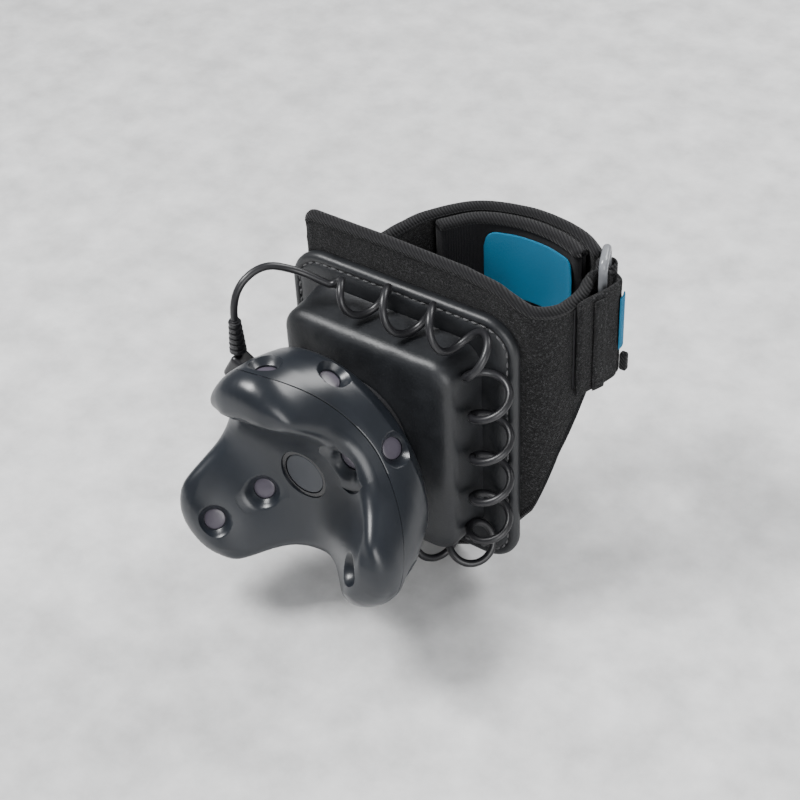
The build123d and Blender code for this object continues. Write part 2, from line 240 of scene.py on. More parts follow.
def leather(name, colour):
    """Embossed faux leather: pebble cells, soft creases, painted shade in the creases and a painted
    highlight on the high spots.
    """
    made = material(name, colour, 0.46, specular=0.5)
    at = coordinates(made)
    cells = add_node(made, "ShaderNodeTexVoronoi")
    cells.inputs["Scale"].default_value = 1.15
    joined(made, at, cells.inputs["Vector"])
    creases = noise_node(made, at, 0.12, 6.0, 0.65)
    grain = bump(made, cells.outputs["Distance"], 0.28, 0.10)
    joined(made, bump(made, creases, 0.35, 0.5, grain), shader_of(made).inputs["Normal"])
    # painted shade and highlight: the colour follows the crease relief, darker in the creases and lighter on
    # the high spots
    tone = ramp(made, creases, 0.25, 0.8, [c * 0.75 for c in colour], [c * 1.5 for c in colour])
    joined(made, tone, shader_of(made).inputs["Base Color"])
    joined(made, remap(made, creases, 0.34, 0.58), shader_of(made).inputs["Roughness"])
    return made


def loop_pile(name, dark, light):
    """Brushed loop fabric: tangled fibres with pale flecks."""
    made = material(name, dark, 0.95, specular=0.1, sheen=0.08)
    at = coordinates(made)
    fibres = noise_node(made, at, 1.3, 8.0, 0.85)
    clumps = noise_node(made, at, 0.35, 4.0, 0.7)
    joined(made, ramp(made, fibres, 0.52, 0.66, dark, light), shader_of(made).inputs["Base Color"])
    rough = bump(made, clumps, 0.8, 1.2)
    joined(made, bump(made, fibres, 1.0, 0.9, rough), shader_of(made).inputs["Normal"])
    return made


def knit(name, colour, stretch=(1, 1, 1), ribs=2.2, direction="Z"):
    """Ribbed knit: rows of rounded ribs with yarn noise over them, painted shade in the grooves between ribs
    and a painted highlight on the rib tops.
    """
    made = material(name, colour, 0.85, specular=0.15, sheen=0.08)
    at = coordinates(made, stretch)
    wave = add_node(made, "ShaderNodeTexWave", bands_direction=direction)
    wave.inputs["Scale"].default_value = ribs
    wave.inputs["Distortion"].default_value = 1.5
    wave.inputs["Detail"].default_value = 2.0
    joined(made, at, wave.inputs["Vector"])
    yarn = noise_node(made, at, 2.5, 4.0, 0.7)
    ribbing = bump(made, wave.outputs["Fac"], 0.7, 0.35)
    joined(made, bump(made, yarn, 0.5, 0.25, ribbing), shader_of(made).inputs["Normal"])
    # painted shade and highlight: the colour follows the ribs, darker in the grooves between them and
    # lighter on their tops
    tone = ramp(made, wave.outputs["Fac"], 0.1, 0.9, [c * 0.6 for c in colour], [c * 1.4 for c in colour])
    joined(made, tone, shader_of(made).inputs["Base Color"])
    return made


puck_black = plastic("puck_black", (0.011, 0.0135, 0.018), 0.31)
window_dark = plastic("window_dark", (0.075, 0.066, 0.086), 0.3, grain=0.1)
bezel_black = plastic("bezel_black", (0.012, 0.012, 0.014), 0.16, grain=0.08)
button_black = plastic("button_black", (0.028, 0.032, 0.040), 0.34)
moulded_black = plastic("moulded_black", (0.018, 0.018, 0.020), 0.5, grain=0.6)
cord_black = plastic("cord_black", (0.013, 0.013, 0.015), 0.38, grain=0.2)
grip_black = plastic("grip_black", (0.016, 0.016, 0.016), 0.7, grain=0.8)
steel = plastic("steel", (0.52, 0.53, 0.55), 0.3, metallic=1.0)
brass = plastic("brass", (0.75, 0.55, 0.26), 0.3, metallic=1.0)
board_green = plastic("board_green", (0.02, 0.10, 0.05), 0.4)
cell_foil = plastic("cell_foil", (0.45, 0.46, 0.48), 0.35)
pipe_clear = plastic("pipe_clear", (0.72, 0.78, 0.84), 0.12, grain=0.05, transmission=0.6)
buckle_grey = plastic("buckle_grey", (0.30, 0.31, 0.33), 0.18, grain=0.1, transmission=0.35)
pad_black = leather("pad_black", (0.011, 0.012, 0.014))
pile_black = loop_pile("pile_black", (0.0045, 0.0045, 0.005), (0.10, 0.10, 0.105))
knit_black = knit("knit_black", (0.012, 0.012, 0.013), ribs=0.42, direction="DIAGONAL")
jersey_black = knit("jersey_black", (0.011, 0.011, 0.013), ribs=0.9, direction="X")
print_blue = knit("print_blue", (0.006, 0.16, 0.30), ribs=0.9, direction="Z")
thread_grey = knit("thread_grey", (0.15, 0.15, 0.155), ribs=3.0)

for node, made in {
    "sensor_boards": board_green, "main_board": board_green, "puck_battery": cell_foil,
    "antenna": brass, "threaded_insert": brass, "shell_screws": steel, "button_bezel": bezel_black,
    "power_button": button_black, "button_switch": steel, "status_light_pipe": pipe_clear,
    "usb_socket": steel, "plug_tip": steel, "mount_plate": moulded_black, "grip_ring": grip_black,
    "locator_pin": steel, "mount_stud": steel, "mount_screws": steel,
    "stiffener_plate": moulded_black, "foam_sheet": grip_black, "battery_cell": cell_foil,
    "charge_board": board_green, "board_connector": moulded_black, "cord_grommet": grip_black,
    "hook_patch": moulded_black,
}.items():
    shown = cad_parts[node]
    shown.data.materials.clear()
    shown.data.materials.append(made)


# ---- camera ----
AIM = np.array([-15.0, -45.0, -25.0])
AZIMUTH, ELEVATION, ROLL = map(math.radians, (37.05, 39.77, -3.1))
DISTANCE, SIDE_STEP, LENS = 600.0, -7.3, 80.7
back = Vector((math.sin(AZIMUTH) * math.cos(ELEVATION), -math.cos(AZIMUTH) * math.cos(ELEVATION),
               math.sin(ELEVATION)))
level = Vector((math.cos(AZIMUTH), math.sin(AZIMUTH), 0))
upright = back.cross(level)
right = level * math.cos(ROLL) + upright * math.sin(ROLL)
up = upright * math.cos(ROLL) - level * math.sin(ROLL)
camera = bpy.data.objects.new("camera", bpy.data.cameras.new("camera"))
bpy.context.scene.collection.objects.link(camera)
camera.data.lens = LENS
camera.data.clip_start, camera.data.clip_end = 0.01, 20
turn = Matrix((right, up, back)).transposed()
place = (Vector(AIM) + back * DISTANCE + right * SIDE_STEP) * MM
camera.matrix_world = Matrix.Translation(place) @ turn.to_4x4()
bpy.context.scene.camera = camera


# ---- cord ----
CORD_M, COIL_RADIUS_M, COIL_PITCH_M = 0.0026, 0.00655, 0.0178
COIL_START_TURN = 0.15
neck_x = PUCK[0] + 41.2 * math.cos(math.radians(PORT_ANGLE))
neck_y = PUCK[1] - PORT_DEPTH
neck_z = PUCK[2] + 41.2 * math.sin(math.radians(PORT_ANGLE))
NECK_TOP = neck_z + 20.1
lead_route = [
    (neck_x * MM, neck_y * MM, NECK_TOP * MM),
    (neck_x * MM, neck_y * MM, 0.0152),
    (-0.0660, -0.0610, 0.0215),
    (-0.0600, -0.0510, 0.0155),
]
coil_route = [
    (-0.0500, -0.0470, 0.0108),
    (-0.0210, -0.0473, 0.0106),
    (0.0135, -0.0470, 0.0109),
    (0.0138, -0.0473, -0.0360),
    (0.0134, -0.0470, -0.0883),
    (-0.0250, -0.0472, -0.0882),
]
return_route = [
    (-0.0330, -0.0470, -0.0925),
    (-0.0410, -0.0472, -0.0956),
    (-0.0480, -0.0470, -0.0946),
    (-0.0522, -0.0471, -0.0894),
    (-0.0525, -0.0470, -0.0821),
]


def nurbs(name, points, width):
    """One open NURBS spline of order 3 through its end points."""
    curve = bpy.data.curves.new(name, "CURVE")
    curve.dimensions = "3D"
    spline = curve.splines.new("NURBS")
    spline.points.add(len(points) - 1)
    for control, point in zip(spline.points, points):
        control.co = (*point, 1)
    spline.order_u = 3
    spline.use_endpoint_u = True
    spline.resolution_u = 8
    curve.bevel_depth = width / 2
    curve.bevel_resolution = 5
    curve.use_fill_caps = True
    piece = bpy.data.objects.new(name, curve)
    bpy.context.scene.collection.objects.link(piece)
    return piece


def followed(points):
    """The points along a route's NURBS spline."""
    guide = nurbs("guide", points, 0)
    guide.data.splines[0].resolution_u = 40
    line = bpy.data.meshes.new_from_object(guide)
    along = np.array([v.co for v in line.vertices])
    bpy.data.objects.remove(guide)
    bpy.data.meshes.remove(line)
    return along


def helix(axis, radius, pitch, start_turn):
    """Points of a coil round an axis line. Its radius grows over the first part-turn and fades over
    the last, so the cord runs into the coil smoothly."""
    run = np.concatenate([[0], np.cumsum(np.linalg.norm(np.diff(axis, axis=0), axis=1))])
    turns = run[-1] / pitch
    count = int(turns * 14)
    points = []
    toward = np.array([0.0, -1.0, 0.0])
    for k in range(count + 1):
        share = k / count
        s = share * run[-1]
        here = np.array([np.interp(s, run, axis[:, i]) for i in range(3)])
        ahead = np.array([np.interp(min(s + 0.001, run[-1]), run, axis[:, i]) for i in range(3)])
        behind = np.array([np.interp(max(s - 0.001, 0), run, axis[:, i]) for i in range(3)])
        along = (ahead - behind) / np.linalg.norm(ahead - behind)
        outward = np.cross(along, toward)
        outward /= np.linalg.norm(outward)
        normal = np.cross(outward, along)
        grow = min(1.0, share * turns / 0.6, (1 - share) * turns / 0.6)
        wobble = 1 + 0.05 * math.sin(5.1 * share * turns)
        angle = 2 * math.pi * (turns * share + start_turn)
        offset = radius * wobble * grow * (math.cos(angle) * outward - math.sin(angle) * normal)
        points.append(tuple(here + offset))
    return points


coil_points = helix(followed(coil_route), COIL_RADIUS_M, COIL_PITCH_M, COIL_START_TURN)
cord_points = lead_route + coil_points + return_route
charge_cord = nurbs("charge_cord", cord_points, CORD_M)
charge_cord.data.materials.append(cord_black)
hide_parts("cord_lead", "cord_coil", "cord_return")
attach(charge_cord, "harness")


# ---- puck ----
def outline_radius(depth, angle_deg):
    """The puck's outer radius at a depth and direction."""
    wave = np.cos(np.radians(3 * (angle_deg - LOBE_ANGLE)))
    between = np.interp(depth, OUTLINE[:, 0], OUTLINE[:, 1])
    lobe = np.interp(depth, OUTLINE[:, 0], OUTLINE[:, 2])
    return between + (lobe - between) * np.maximum(0, (1 + wave) / 2) ** LOBE_NARROWNESS


def front_depth(radius, angle_deg):
    """Depth of the dished front over the base."""
    u = radius / 45
    rise = 21.5 + 22 * u ** 2 + 20 * u ** 3 * np.cos(np.radians(3 * (angle_deg - LOBE_ANGLE)))
    return -2.5 * np.log(np.exp(-rise / 2.5) + np.exp(-HORN_TOP / 2.5))


def parting_depth(radius, angle_deg):
    """Depth of the wavy joint between the two shells."""
    u = radius / 45
    return 12.5 + 13 * u ** 2 + 5 * u ** 3 * np.cos(np.radians(3 * (angle_deg - LOBE_ANGLE)))


def puck_point(radius, angle_deg, depth):
    c, s = np.cos(np.radians(angle_deg)), np.sin(np.radians(angle_deg))
    return np.stack([PUCK[0] + radius * c, PUCK[1] - depth + 0 * c, PUCK[2] + radius * s], -1)


def resample(line, count):
    run = np.concatenate([[0], np.cumsum(np.linalg.norm(np.diff(line, axis=0), axis=1))])
    even = np.linspace(0, run[-1], count)
    return np.column_stack([np.interp(even, run, line[:, k]) for k in range(2)])


def puck_profile(angle_deg):
    """The puck's section in one direction: (radius, depth) from the button to the base."""
    edge = 7.5 + 2.5 * math.cos(math.radians(3 * (angle_deg - LOBE_ANGLE)))
    radii = np.linspace(9.3, 56, 400)
    front = np.column_stack([radii, front_depth(radii, angle_deg)])
    inside = radii < outline_radius(front[:, 1], angle_deg)
    cut = len(radii) if inside.all() else int(np.argmin(inside))
    front = front[:cut]
    corner = front[-1]
    depths = np.linspace(corner[1], 0.0, 200)
    side = np.column_stack([outline_radius(depths, angle_deg), depths])
    side[0] = corner
    kernel = np.hanning(21) / np.hanning(21).sum()
    padded = np.concatenate([np.full(10, side[0, 0]), side[:, 0], np.full(10, side[-1, 0])])
    side[:, 0] = np.convolve(padded, kernel, "valid")
    gap_front = np.linalg.norm(front - corner, axis=1)
    gap_side = np.linalg.norm(side - corner, axis=1)
    start, end = front[np.argmin(abs(gap_front - edge))], side[np.argmin(abs(gap_side - edge))]
    t = np.linspace(0, 1, 24)[:, None]
    bend = (1 - t) ** 2 * start + 2 * t * (1 - t) * corner + t ** 2 * end
    kept_front = front[gap_front > edge]
    kept_side = side[(gap_side > edge)]
    base_round = np.column_stack([np.linspace(kept_side[-1, 0] - 0.6, 5.2, 30), np.zeros(30)])
    return np.vstack([kept_front, bend, kept_side, base_round])


def puck_shell(name, front_side, columns=300):
    """One shell as a closed form: its outer skin and the joint surface behind it."""
    rows_out, rows_in, gap = 110, 40, 0.16
    verts = []
    for k in range(columns):
        angle = 360 * k / columns
        line = puck_profile(angle)
        over = line[:, 1] - parting_depth(line[:, 0], angle)
        split = int(np.argmax(over < 0))
        near, far = line[split - 1], line[split]
        share = over[split - 1] / (over[split - 1] - over[split])
        joint = near + share * (far - near)
        if front_side:
            skin = resample(np.vstack([line[:split], joint]), 400)
            skin = resample(skin[np.linalg.norm(skin - joint, axis=1) > gap], rows_out)
            sign, inner_radius = 1, 9.3
        else:
            skin = resample(np.vstack([joint, line[split:]]), 400)
            skin = resample(skin[np.linalg.norm(skin - joint, axis=1) > gap], rows_out)[::-1]
            sign, inner_radius = -1, 5.2
        rim = skin[-1]
        lip = rim + np.array([-0.18, -0.10 * sign])
        radii = np.linspace(rim[0] - 1.0, inner_radius, rows_in)
        behind = np.column_stack([radii, parting_depth(radii, angle) + gap * sign])
        ring = np.vstack([skin, lip, behind])
        verts.append(puck_point(ring[:, 0], angle, ring[:, 1]))
    rows = len(ring)
    points = np.array(verts).transpose(1, 0, 2).reshape(-1, 3)
    mesh = mesh_from(name, points, grid_faces(rows, columns, True, True), 50)
    fix_normals(mesh)
    return mesh


def cup_frames():
    """Places and outward directions of the sensor cups, front then rear, as in the solids."""
    front, rear = [], []
    for radius, angle in [(33.0, a) for a in LOBES] + [(19.0, LOBES[1]), (24.0, LOBES[1] + 180)]:
        x, z = radius * math.cos(math.radians(angle)), radius * math.sin(math.radians(angle))

        def depth_at(px, pz):
            return float(front_depth(math.hypot(px, pz), math.degrees(math.atan2(pz, px))))
        slope_x = depth_at(x + 0.5, z) - depth_at(x - 0.5, z)
        slope_z = depth_at(x, z + 0.5) - depth_at(x, z - 0.5)
        out = Vector((-slope_x, -1, -slope_z)).normalized()
        front.append((Vector((PUCK[0] + x, PUCK[1] - depth_at(x, z), PUCK[2] + z)), out))
    for lobe in LOBES:
        for side, depth in ((0, 27), (-20, 12), (52, 11)):
            angle = lobe + side
            if angle == PORT_ANGLE:
                continue
            radius = float(outline_radius(depth, angle))
            slope = float(outline_radius(depth + 0.5, angle) - outline_radius(depth - 0.5, angle))
            twist = float(outline_radius(depth, angle + 0.5) - outline_radius(depth, angle - 0.5))
            around = twist / math.radians(1) / radius
            c, s = math.cos(math.radians(angle)), math.sin(math.radians(angle))
            out = Vector((c + around * s, slope, s - around * c)).normalized()
            rear.append((Vector((PUCK[0] + radius * c, PUCK[1] - depth, PUCK[2] + radius * s)), out))
    return front, rear


CUP_SECTION = [(0, -4.2), (3.72, -4.2), (3.72, -3.0), (4.05, -2.75), (4.9, -1.5), (5.7, -0.45),
               (6.5, 0.1), (7.6, 0.45), (9.5, 0.9), (9.5, 6.0), (0, 6.0)]


def cup_cutter(frames):
    """The round-edged hollows that the sensor windows sit in."""
    verts, faces, sides = [], [], 64
    for centre, out in frames:
        turn = out.to_track_quat("Z", "Y").to_matrix()
        base = len(verts)
        rings = CUP_SECTION[1:-1]
        for radius, height in rings:
            for k in range(sides):
                a = 2 * math.pi * k / sides
                verts.append(centre + turn @ Vector((radius * math.cos(a), radius * math.sin(a), height)))
        for i in range(len(rings) - 1):
            for k in range(sides):
                faces.append((base + i * sides + k, base + i * sides + (k + 1) % sides,
                              base + (i + 1) * sides + (k + 1) % sides, base + (i + 1) * sides + k))
        faces.append(tuple(base + k for k in reversed(range(sides))))
        faces.append(tuple(base + (len(rings) - 1) * sides + k for k in range(sides)))
    mesh = mesh_from("cutter", verts, faces)
    fix_normals(mesh)
    return link("cutter", mesh, None)


def cut_out(piece, cutter):
    """Cuts one mesh from another for good."""
    step = piece.modifiers.new("cut", "BOOLEAN")
    step.operation, step.solver, step.object = "DIFFERENCE", "EXACT", cutter
    result = bpy.data.meshes.new_from_object(piece.evaluated_get(bpy.context.evaluated_depsgraph_get()))
    piece.modifiers.clear()
    piece.data = result
    result.shade_smooth()
    result.set_sharp_from_angle(angle=math.radians(42))
    bpy.data.objects.remove(cutter)


front_frames, rear_frames = cup_frames()
front_shell = link("puck_front", puck_shell("puck_front", True), "harness", "front_cover",
                   slot="puck_plastic", material=puck_black)
rear_shell = link("puck_rear", puck_shell("puck_rear", False), "harness", "rear_shell",
                  slot="puck_plastic", material=puck_black)
bpy.context.view_layer.update()
cut_out(front_shell, cup_cutter(front_frames))
cut_out(rear_shell, cup_cutter(rear_frames))


def window_discs(name, frames, *nodes):
    """The sensors' round windows, slightly domed, at the bottom of their cups."""
    verts, faces, sides = [], [], 48
    section = [(0.01, -3.3), (1.2, -3.32), (2.4, -3.38), (3.3, -3.48), (3.6, -3.62), (3.65, -4.0),
               (0.01, -4.0)]
    for centre, out in frames:
        turn = out.to_track_quat("Z", "Y").to_matrix()
        base = len(verts)
        for radius, height in section:
            for k in range(sides):
                a = 2 * math.pi * k / sides
                verts.append(centre + turn @ Vector((radius * math.cos(a), radius * math.sin(a), height)))
        faces += [tuple(base + i for i in f) for f in grid_faces(len(section), sides)]
    mesh = mesh_from(name, verts, faces, 40)
    fix_normals(mesh)
    return link(name, mesh, "harness", *nodes, slot="sensor_window", material=window_dark)


window_discs("front_windows", front_frames, "sensor_windows_front")
window_discs("rear_windows", rear_frames, "sensor_windows_rear")


# ---- plug and strain relief ----
def plug_body():
    """The right-angle plug as a rounded block; its ribbed neck is built on its own below."""
    out = Vector((math.cos(math.radians(PORT_ANGLE)), 0, math.sin(math.radians(PORT_ANGLE))))
    across, along = Vector((0, -1, 0)), out.cross(Vector((0, -1, 0)))
    centre = Vector(PUCK) + Vector((0, -PORT_DEPTH, 0)) + out * 41.4
    turn = Matrix((across, along, out)).transposed()
    half = np.array([3.7, 5.4, 3.4])
    return rounded_box("usb_plug_body", half, 1.6, 14, turn, centre)


def rounded_box(name, half, edge, steps, turn=None, centre=(0, 0, 0), crown=0.0):
    """A closed box with rounded edges from an even cube grid."""
    work = bmesh.new()
    bmesh.ops.create_cube(work, size=2.0)
    bmesh.ops.subdivide_edges(work, edges=work.edges, cuts=steps, use_grid_fill=True)
    for v in work.verts:
        p = np.array(v.co) * half
        inner = np.clip(p, -(half - edge), half - edge)
        gap = p - inner
        size = np.linalg.norm(gap)
        q = inner + (gap / size * edge if size > 1e-9 else gap)
        if crown:
            q[1] -= crown * max(0.0, 1 - (q[0] / half[0]) ** 2) * max(0.0, 1 - (q[2] / half[2]) ** 2)
        q = Vector(q)
        v.co = ((turn @ q if turn else q) + Vector(centre)) * MM
    mesh = bpy.data.meshes.new(name)
    work.to_mesh(mesh)
    work.free()
    mesh.shade_smooth()
    return mesh


def lathe(name, section, origin, axis, sides=40):
    """A closed turned form: section is (radius, height) along axis from origin."""
    turn = Vector(axis).to_track_quat("Z", "Y").to_matrix()
    verts = []
    for radius, height in section:
        for k in range(sides):
            a = 2 * math.pi * k / sides
            local = Vector((radius * math.cos(a), radius * math.sin(a), height))
            verts.append(Vector(origin) + turn @ local)
    faces = grid_faces(len(section), sides)
    faces.append(tuple(reversed(range(sides))))
    faces.append(tuple((len(section) - 1) * sides + k for k in range(sides)))
    mesh = mesh_from(name, verts, faces, 35)
    fix_normals(mesh)
    return mesh


plug_grip = link("usb_plug_body", plug_body(), "harness", "usb_plug", slot="cord_rubber",
                 material=cord_black)
neck_section, height = [(2.95, 0.0)], 0.0
for k in range(6):
    wide = 2.9 - 0.14 * k
    neck_section += [(wide, height + 0.1), (wide, height + 1.35), (wide - 0.55, height + 1.5),
                     (wide - 0.55, height + 2.0)]
    height += 2.12
neck_section += [(1.75, 12.72), (1.4, 12.8)]
neck_ribs = link("neck_ribs", lathe("neck_ribs", neck_section, (neck_x, neck_y, neck_z + 7.2), (0, 0, 1)),
                 "harness", "strain_relief", slot="cord_rubber", material=cord_black)


# ---- pad ----
def rounded_outline(left, right, bottom, top, corner, inset, count=260):
    """Points round a rounded rectangle drawn inset from its edge, evenly spaced, as (x, z)."""
    corner = max(corner - inset, 1.0)
    l, r, b, t = left + inset, right - inset, bottom + inset, top - inset
    line = []
    for cx, cz, start in ((r - corner, t - corner, 0), (l + corner, t - corner, 90),
                          (l + corner, b + corner, 180), (r - corner, b + corner, 270)):
        for k in range(13):
            a = math.radians(start + 90 * k / 12)
            line.append((cx + corner * math.cos(a), cz + corner * math.sin(a)))
    line = np.array(line + line[:1])
    return resample(line, count + 1)[:-1]


def pad_mesh():
    """The padded leather backing: rolled edge, sewn groove near it, and a soft swell inside."""
    size = [PAD[k] for k in ("left", "right", "bottom", "top", "corner")]
    front, rear = PAD["front"], PAD["back"]
    section = [(0.9, rear), (0.25, rear - 0.5), (0.0, rear - 1.4), (0.0, front + 1.6), (0.35, front + 0.7),
               (1.1, front + 0.1), (2.0, front), (2.7, front + 0.25), (3.1, front + 0.7),
               (3.5, front + 0.25), (4.3, front - 0.1), (6.0, front - 0.3), (8.0, front - 0.2),
               (11.0, front), (16.0, front), (24.0, front)]
    verts, count = [], 260
    for inset, y in section:
        for x, z in rounded_outline(*size, inset, count):
            lift = 0.35 * fuzz((x, 0, z), 16.0) + 0.12 * fuzz((x, 3, z), 5.0)
            verts.append((x, y - (lift if inset > 2 else 0.3 * lift), z))
    faces = grid_faces(len(section), count)
    faces.append(tuple(range(count)))
    faces.append(tuple(reversed(range((len(section) - 1) * count, len(section) * count))))
    mesh = mesh_from("leather_pad", verts, faces, 60)
    fix_normals(mesh)
    return mesh


def stitches(name, line, pitch, long, thick, out, material_used, body="harness"):
    """A row of thread stitches along a closed or open line of (point, along) pairs."""
    verts, faces, sides = [], [], 8
    run = np.concatenate([[0], np.cumsum(np.linalg.norm(np.diff(line, axis=0), axis=1))])
    count = int(run[-1] / pitch)
    for n in range(count):
        mid = (n + 0.5) * pitch
        ends = [np.array([np.interp(mid + d, run, line[:, k]) for k in range(3)])
                for d in (-long / 2, long / 2)]
        along = (ends[1] - ends[0]) / np.linalg.norm(ends[1] - ends[0])
        side = np.cross(along, out)
        side /= np.linalg.norm(side)
        high = np.cross(side, along)
        base = len(verts)
        shape = ((-0.5, 0.25, -0.5), (-0.42, 0.8, -0.12), (-0.2, 1.0, 0.15), (0.2, 1.0, 0.15),
                 (0.42, 0.8, -0.12), (0.5, 0.25, -0.5))
        for t, wide, lift in shape:
            for k in range(sides):
                a = 2 * math.pi * k / sides
                verts.append((ends[0] + ends[1]) / 2 + along * t * long + high * lift * thick
                             + wide * thick / 2 * (math.cos(a) * side + math.sin(a) * high))
        faces += [tuple(base + i for i in f) for f in grid_faces(len(shape), sides)]
        faces.append(tuple(base + k for k in range(sides)))
        faces.append(tuple(base + (len(shape) - 1) * sides + k for k in reversed(range(sides))))
    mesh = mesh_from(name, verts, faces, 60)
    fix_normals(mesh)
    return link(name, mesh, body, slot="pad_leather", material=material_used)


pad = link("leather_pad", pad_mesh(), "harness", "pad_backing", slot="pad_leather", material=pad_black)
rim = rounded_outline(*[PAD[k] for k in ("left", "right", "bottom", "top", "corner")], 3.1, 400)
rim = np.column_stack([rim[:, 0], np.full(len(rim), PAD["front"] + 0.45), rim[:, 1]])
stitches("pad_stitches", np.vstack([rim, rim[:1]]), 3.3, 2.3, 0.75, np.array([0, -1.0, 0]), thread_grey)


# ---- pouch ----
def pouch_mesh():
    """The battery pouch: a soft leather box with a rolled edge, a dished face and a turned-out hem."""
    left, right_, bottom, top = (POUCH[k] for k in ("left", "right", "bottom", "top"))
    front, base = POUCH["front"], PAD["front"] - 0.2
    section = [(-0.3, base), (0.0, base - 1.2), (0.15, base - 3.0)]
    section += [(0.2 + 0.3 * t, base - 3.0 - t * (base - 3.0 - front - 4.5)) for t in (0.25, 0.5, 0.75, 1)]
    for a in range(10, 91, 16):
        in_from_side = 0.5 + 4.4 * (1 - math.cos(math.radians(a)))
        section.append((in_from_side, front + 4.5 - 4.4 * math.sin(math.radians(a))))
    section += [(7.5, front - 0.15), (10.0, front), (14.0, front + 0.25), (20.0, front + 0.3),
                (30.0, front + 0.3)]
    verts, count = [], 240
    for inset, y in section:
        for x, z in rounded_outline(left, right_, bottom, top, 9.0, inset, count):
            wrinkle = 0.45 * fuzz((x, y, z), 14.0, 7.0) + 0.15 * fuzz((x, y, z), 4.5, 3.0)
            strength = 1.0 if y < base - 2 else 0.2
            verts.append((x, y - strength * wrinkle * (0.6 if inset > 10 else 1.0), z))
    faces = grid_faces(len(section), count)
    faces.append(tuple(range(count)))
    faces.append(tuple(reversed(range((len(section) - 1) * count, len(section) * count))))
    mesh = mesh_from("leather_pouch", verts, faces, 70)
    fix_normals(mesh)
    return mesh


pouch = link("leather_pouch", pouch_mesh(), "harness", "pouch_cover", slot="pad_leather", material=pad_black)


# ---- strap ----
def ribbon(name, points, thick, low, high, step=1.2, rough=0.0, tall=24, seed=0.0, bulge=0.0, caps=6):
    """Webbing that stands along a plan line. low and high give z at a share of its length; the
    section is a flat oval with round edges and the ends are rounded off."""
    line = smooth_path(points, step)
    count = len(line)
    ahead = np.gradient(line, axis=0)
    ahead /= np.linalg.norm(ahead, axis=1)[:, None]
    side = np.column_stack([ahead[:, 1], -ahead[:, 0]])
    section = [(1.0, t) for t in np.linspace(0.0, 1.0, tall)]
    section += [(math.cos(a), 1 + 0.5 * math.sin(a)) for a in np.linspace(0.3, math.pi - 0.3, caps)]
    section += [(-1.0, t) for t in np.linspace(1.0, 0.0, tall)]
    section += [(-math.cos(a), -0.5 * math.sin(a)) for a in np.linspace(0.3, math.pi - 0.3, caps)]
    verts = []
    for i, (point, out) in enumerate(zip(line, side)):
        share = i / (count - 1)
        z0, z1 = low(share), high(share)
        end = min(i, count - 1 - i) / 2.5
        shrink = math.sqrt(max(0.0, 1 - (1 - min(1.0, end)) ** 2)) * 0.85 + 0.15
        half = thick / 2
        for across, rise in section:
            inner = min(max(rise, 0.0), 1.0)
            extra = (rise - inner) * thick
            z = z0 + half + inner * (z1 - z0 - 2 * half) + extra
            swell = 1 + bulge * math.sin(math.pi * inner)
            offset = across * half * shrink * swell
            here = np.array([point[0] + out[0] * offset, point[1] + out[1] * offset, z])
            if rough:
                push = rough * fuzz(here, 1.9, seed) + rough * 0.8 * fuzz(here, 6.5, seed + 9)
                here[:2] += out * push * (1 if across > 0 else -1)
                here[2] += 0.5 * rough * fuzz(here, 2.5, seed + 4)
            verts.append(here)
    around = len(section)
    faces = grid_faces(count, around)
    faces.append(tuple(range(around)))
    faces.append(tuple((count - 1) * around + k for k in reversed(range(around))))
    mesh = mesh_from(name, verts, faces, 70)
    fix_normals(mesh)
    return mesh


def constant(value):
    return lambda share: value


def stepped(*pairs):
    """A function of a share, in straight steps through (share, value) pairs."""
    shares, values = zip(*pairs)
    return lambda share: float(np.interp(share, shares, values))


PANEL_LINE = [(-68.5, -33.2), (-50, -33.3), (-30, -33.3), (-10, -33.3), (6, -33.3), (13.4, -33.2),
              (21.0, -31.8), (25.6, -27.0), (27.4, -20.0), (27.6, -14.5), (27.0, -10.5), (25.6, -7.7)]
panel_low = stepped((0, -90), (0.012, -95), (0.035, -98), (0.5, -98), (0.60, -92), (0.70, -78),
                    (0.77, -66), (0.84, -42), (0.92, -29), (1, -21))
panel_high = stepped((0, 22.5), (0.012, 25.0), (0.03, 26.2), (0.3, 26.4), (0.55, 25.6), (0.66, 23.8),
                     (0.76, 18.8), (0.85, 17.6), (1, 18.0))
link("loop_panel", ribbon("loop_panel", PANEL_LINE, 2.6, panel_low, panel_high, 1.1, 0.34, 70), "harness",
     "front_panel", "side_wing", slot="loop_fabric", material=pile_black)


def edge_binding(name, points, thick, edge, wide, replaced=(), step=1.0, upward=True):
    """Ribbed knit folded over an edge whose height follows the share of the line."""
    low = (lambda s: edge(s) - wide) if upward else (lambda s: edge(s) - 0.9)
    high = (lambda s: edge(s) + 0.9) if upward else (lambda s: edge(s) + wide)
    mesh = ribbon(name, points, thick, low, high, step, 0.05, 6, bulge=0.12)
    return link(name, mesh, "harness", *replaced, slot="binding_knit", material=knit_black)


edge_binding("panel_edge_top", PANEL_LINE, 3.7, panel_high, 3.4, ("panel_binding",))
edge_binding("panel_edge_bottom", PANEL_LINE, 3.7, panel_low, 3.4, upward=False)

REAR_LINE = [(-45.0, -31.6), (-44.4, -24.0), (-42.4, -14.0), (-38.8, -3.9), (-28.0, 9.6), (-12.0, 15.4),
             (2.0, 15.4), (13.5, 12.2), (22.2, 6.3)]
band_mesh = ribbon("loop_band", REAR_LINE, 3.0, constant(BAND_LOW), constant(BAND_HIGH), 1.1, 0.30,
                   26, 5.0)
link("loop_band", band_mesh, "harness", "left_band", "rear_band", slot="loop_fabric", material=pile_black)
edge_binding("band_edge_top", REAR_LINE, 4.0, constant(BAND_HIGH), 3.0)
edge_binding("band_edge_bottom", REAR_LINE, 4.0, constant(BAND_LOW), 3.0, upward=False)

